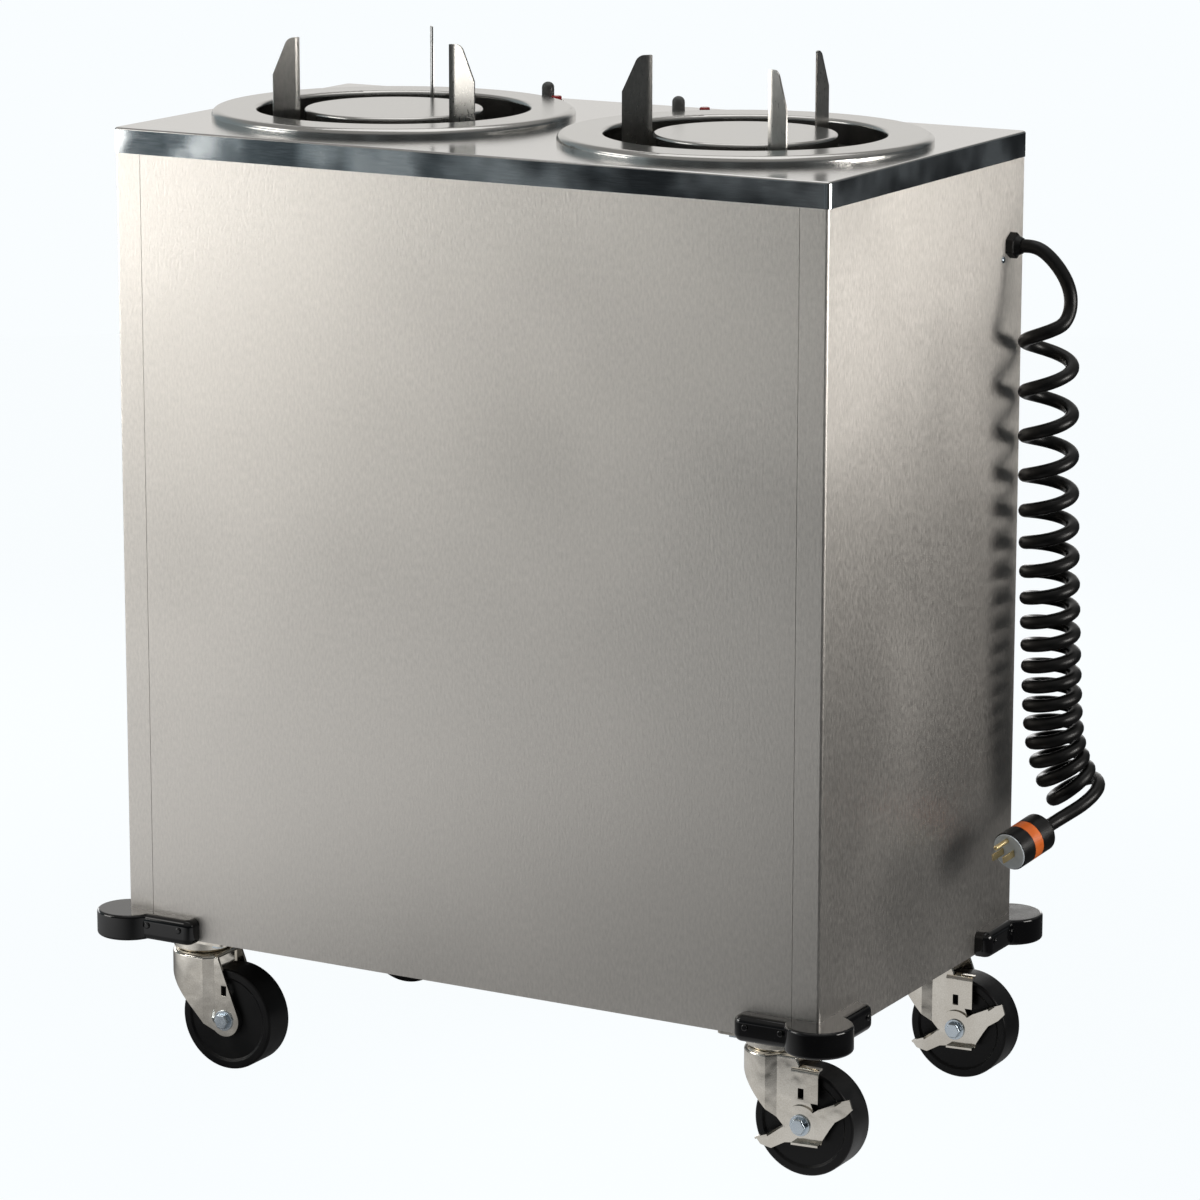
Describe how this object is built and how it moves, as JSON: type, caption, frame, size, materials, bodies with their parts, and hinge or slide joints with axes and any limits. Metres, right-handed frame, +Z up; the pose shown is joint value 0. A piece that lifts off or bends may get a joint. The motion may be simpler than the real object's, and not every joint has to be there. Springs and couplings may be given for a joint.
{
  "type": "plate dispenser cart",
  "caption": "Mobile cabinet with sprung plate wells that lift warmed plates between upright guides, on swivel casters with a coiled power cord.",
  "frame": {"origin": "on the floor, under the middle of the cart", "axes": "+X along the cart's length, towards the end with the power cord; +Y to the back; +Z up"},
  "size_m": [0.899, 0.4778, 1.0045],
  "materials": {
    "brushed stainless": "satin, vertical grain",
    "satin stainless": "satin",
    "bright stainless": "bright, mirror-like",
    "hidden steel": "dull",
    "bright plating": "bright nickel, slightly warm",
    "zinc plating": "bluish zinc",
    "black bumper": "glossy black",
    "black wheel": "satin black",
    "black cord": "satin black",
    "boot rubber": "dark grey",
    "red lens": "clear red",
    "orange band": "orange",
    "grey plug": "satin dark grey",
    "grey face": "light grey",
    "brass": "bright brass",
    "spring steel": "oiled spring steel"
  },
  "bodies": {
    "cabinet": {"base_pan": "hidden steel", "bumper_rivets": "black bumper", "caster_bolts": "zinc plating", "caster_channels": "hidden steel", "caster_plates": "bright plating", "collar_left": "satin stainless", "collar_right": "satin stainless", "cord_coil": "black cord", "cord_gland": "black cord", "cord_lead": "black cord", "cord_tail": "black cord", "corner_bumpers": "black bumper", "corner_posts": "hidden steel", "front_panel": "brushed stainless", "ground_screw": "zinc plating", "heating_elements": "hidden steel", "king_pins": "bright plating", "left_side_panel": "brushed stainless", "lift_springs_left": "spring steel", "lift_springs_right": "spring steel", "pilot_bezels": "bright plating", "pilot_lenses": "red lens", "plate_guides_left": "satin stainless", "plate_guides_right": "satin stainless", "plug_band": "orange band", "plug_blades": "brass", "plug_body": "grey plug", "plug_face": "grey face", "rear_panel": "brushed stainless", "right_side_panel": "brushed stainless", "terminal_box": "hidden steel", "toggle_nuts": "bright plating", "toggle_switches": "grey plug", "top_deck": "satin stainless", "well_tube_left": "hidden steel", "well_tube_right": "hidden steel"},
    "carrier_left": {"carrier_disc_left": "bright stainless", "carriage_left": "hidden steel"},
    "carrier_right": {"carrier_disc_right": "bright stainless", "carriage_right": "hidden steel"},
    "swivel_front_left": {"fork_front_left": "bright plating", "axle_front_left": "zinc plating"},
    "wheel_body_front_left": {"wheel_front_left": "black wheel"},
    "swivel_front_right": {"fork_front_right": "bright plating", "axle_front_right": "zinc plating", "brake_bracket_front_right": "bright plating"},
    "wheel_body_front_right": {"wheel_front_right": "black wheel"},
    "brake_front_right": {"brake_lever_front_right": "bright plating"},
    "swivel_rear_left": {"fork_rear_left": "bright plating", "axle_rear_left": "zinc plating"},
    "wheel_body_rear_left": {"wheel_rear_left": "black wheel"},
    "swivel_rear_right": {"fork_rear_right": "bright plating", "axle_rear_right": "zinc plating", "brake_bracket_rear_right": "bright plating"},
    "wheel_body_rear_right": {"wheel_rear_right": "black wheel"},
    "brake_rear_right": {"brake_lever_rear_right": "bright plating"},
    "toggle_left": {"toggle_boot_left": "boot rubber"},
    "toggle_right": {"toggle_boot_right": "boot rubber"}
  },
  "joints": [
    {"name": "carrier_left_slide", "type": "slide", "parent": "cabinet", "child": "carrier_left", "axis": [0, 0, -1], "range_m": [0, 0.47], "stiffness_N_per_m": 900, "springref_m": -0.06, "deforming": ["lift_springs_left"]},
    {"name": "carrier_right_slide", "type": "slide", "parent": "cabinet", "child": "carrier_right", "axis": [0, 0, -1], "range_m": [0, 0.47], "stiffness_N_per_m": 900, "springref_m": -0.06, "deforming": ["lift_springs_right"]},
    {"name": "swivel_front_left_turn", "type": "hinge", "parent": "cabinet", "child": "swivel_front_left", "pos_m": [-0.321, -0.1656, 0.116], "axis": [0, 0, 1], "continuous": true},
    {"name": "wheel_front_left_spin", "type": "hinge", "parent": "swivel_front_left", "child": "wheel_body_front_left", "pos_m": [-0.2834, -0.1656, 0.0508], "axis": [0, 1, 0], "continuous": true},
    {"name": "swivel_front_right_turn", "type": "hinge", "parent": "cabinet", "child": "swivel_front_right", "pos_m": [0.315, -0.1656, 0.116], "axis": [0, 0, 1], "continuous": true},
    {"name": "wheel_front_right_spin", "type": "hinge", "parent": "swivel_front_right", "child": "wheel_body_front_right", "pos_m": [0.3526, -0.1656, 0.0508], "axis": [0, 1, 0], "continuous": true},
    {"name": "brake_front_right_press", "type": "hinge", "parent": "swivel_front_right", "child": "brake_front_right", "pos_m": [0.3526, -0.1656, 0.0508], "axis": [0, 1, 0], "range_deg": [0, 16]},
    {"name": "swivel_rear_left_turn", "type": "hinge", "parent": "cabinet", "child": "swivel_rear_left", "pos_m": [-0.321, 0.1656, 0.116], "axis": [0, 0, 1], "continuous": true},
    {"name": "wheel_rear_left_spin", "type": "hinge", "parent": "swivel_rear_left", "child": "wheel_body_rear_left", "pos_m": [-0.2834, 0.1656, 0.0508], "axis": [0, 1, 0], "continuous": true},
    {"name": "swivel_rear_right_turn", "type": "hinge", "parent": "cabinet", "child": "swivel_rear_right", "pos_m": [0.315, 0.1656, 0.116], "axis": [0, 0, 1], "continuous": true},
    {"name": "wheel_rear_right_spin", "type": "hinge", "parent": "swivel_rear_right", "child": "wheel_body_rear_right", "pos_m": [0.3526, 0.1656, 0.0508], "axis": [0, 1, 0], "continuous": true},
    {"name": "brake_rear_right_press", "type": "hinge", "parent": "swivel_rear_right", "child": "brake_rear_right", "pos_m": [0.3526, 0.1656, 0.0508], "axis": [0, 1, 0], "range_deg": [0, 16]},
    {"name": "toggle_left_tip", "type": "hinge", "parent": "cabinet", "child": "toggle_left", "pos_m": [-0.12207, 0.17002, 0.934], "axis": [1, 0, 0], "range_deg": [-12, 12]},
    {"name": "toggle_right_tip", "type": "hinge", "parent": "cabinet", "child": "toggle_right", "pos_m": [0.04652, 0.1301, 0.934], "axis": [1, 0, 0], "range_deg": [-12, 12]}
  ]
}
